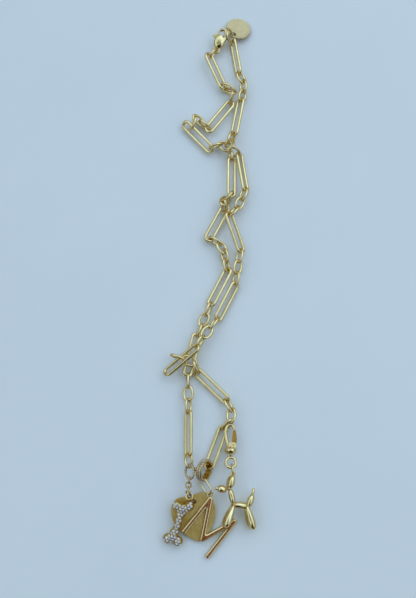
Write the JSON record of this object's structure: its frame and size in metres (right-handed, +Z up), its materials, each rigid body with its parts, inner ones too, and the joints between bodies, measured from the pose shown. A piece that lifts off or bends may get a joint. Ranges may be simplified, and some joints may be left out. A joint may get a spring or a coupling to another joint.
{
  "type": "charm necklace",
  "caption": "Necklace of long oval links and short runs of small ones, with a lobster clasp and tag, a swivel clasp and bone, heart, letter and balloon-dog charms.",
  "frame": {"origin": "middle of the base of the bounding box, on the surface that the necklace lies on", "axes": "+Z up, +Y along the folded necklace from its charms to its clasp, +X to the right seen from above"},
  "size_m": [0.0358, 0.2246, 0.0082],
  "materials": {
    "polished_gold": "polished yellow gold",
    "satin_gold": "brushed yellow gold",
    "pave_gold": "yellow gold set all over with small clear stones",
    "clear_stone": "faceted clear stones"
  },
  "bodies": {
    "necklace": {"link_left_1": "polished_gold", "link_left_2": "polished_gold", "link_left_3": "polished_gold", "link_left_4": "polished_gold", "link_left_5": "polished_gold", "link_left_6": "polished_gold", "link_left_7": "polished_gold", "link_left_8": "polished_gold", "link_right_1": "polished_gold", "link_right_2": "polished_gold", "link_right_3": "polished_gold", "link_right_4": "polished_gold", "link_right_5": "polished_gold", "link_right_6": "polished_gold", "link_right_7": "polished_gold", "link_right_8": "polished_gold", "run_left_1": "polished_gold", "run_left_2": "polished_gold", "run_left_3": "polished_gold", "run_left_4": "polished_gold", "run_left_5": "polished_gold", "run_left_6": "polished_gold", "run_left_7": "polished_gold", "run_right_1": "polished_gold", "run_right_2": "polished_gold", "run_right_3": "polished_gold", "run_right_4": "polished_gold", "run_right_5": "polished_gold", "run_right_6": "polished_gold", "run_right_7": "polished_gold", "clasp_ring": "polished_gold", "end_ring": "polished_gold", "clasp_body": "polished_gold", "holder_link": "polished_gold", "bone_ring": "polished_gold", "heart_ring": "polished_gold", "letter_ring": "polished_gold", "dog_ring": "polished_gold", "swivel_hook": "polished_gold", "dog": "polished_gold", "letter_charm": "polished_gold", "holder": "pave_gold", "bone_bail": "pave_gold", "bone": "pave_gold", "tag": "satin_gold", "heart_charm": "satin_gold"},
    "lever": {"clasp_lever": "polished_gold"},
    "gate": {"swivel_gate": "polished_gold"},
    "eye": {"swivel_eye": "polished_gold"}
  },
  "joints": [
    {"name": "clasp_lever_hinge", "type": "hinge", "parent": "necklace", "child": "lever", "pos_m": [0.00325, 0.09988, 0.00325], "axis": [-0.064, -0.198, 0.9781], "range_deg": [-20, 0], "stiffness_Nm_per_rad": 0.00002, "springref_deg": 5.73},
    {"name": "swivel_gate_hinge", "type": "hinge", "parent": "necklace", "child": "gate", "pos_m": [0.00911, -0.07044, 0.00337], "axis": [0.07, 0.07, 0.9951], "range_deg": [0, 22], "stiffness_Nm_per_rad": 0.00002, "springref_deg": -5.73},
    {"name": "swivel_turn", "type": "hinge", "parent": "necklace", "child": "eye", "pos_m": [0.00801, -0.07408, 0.0037], "axis": [0, 0.9976, -0.0698], "range_deg": [-30, 30]}
  ]
}
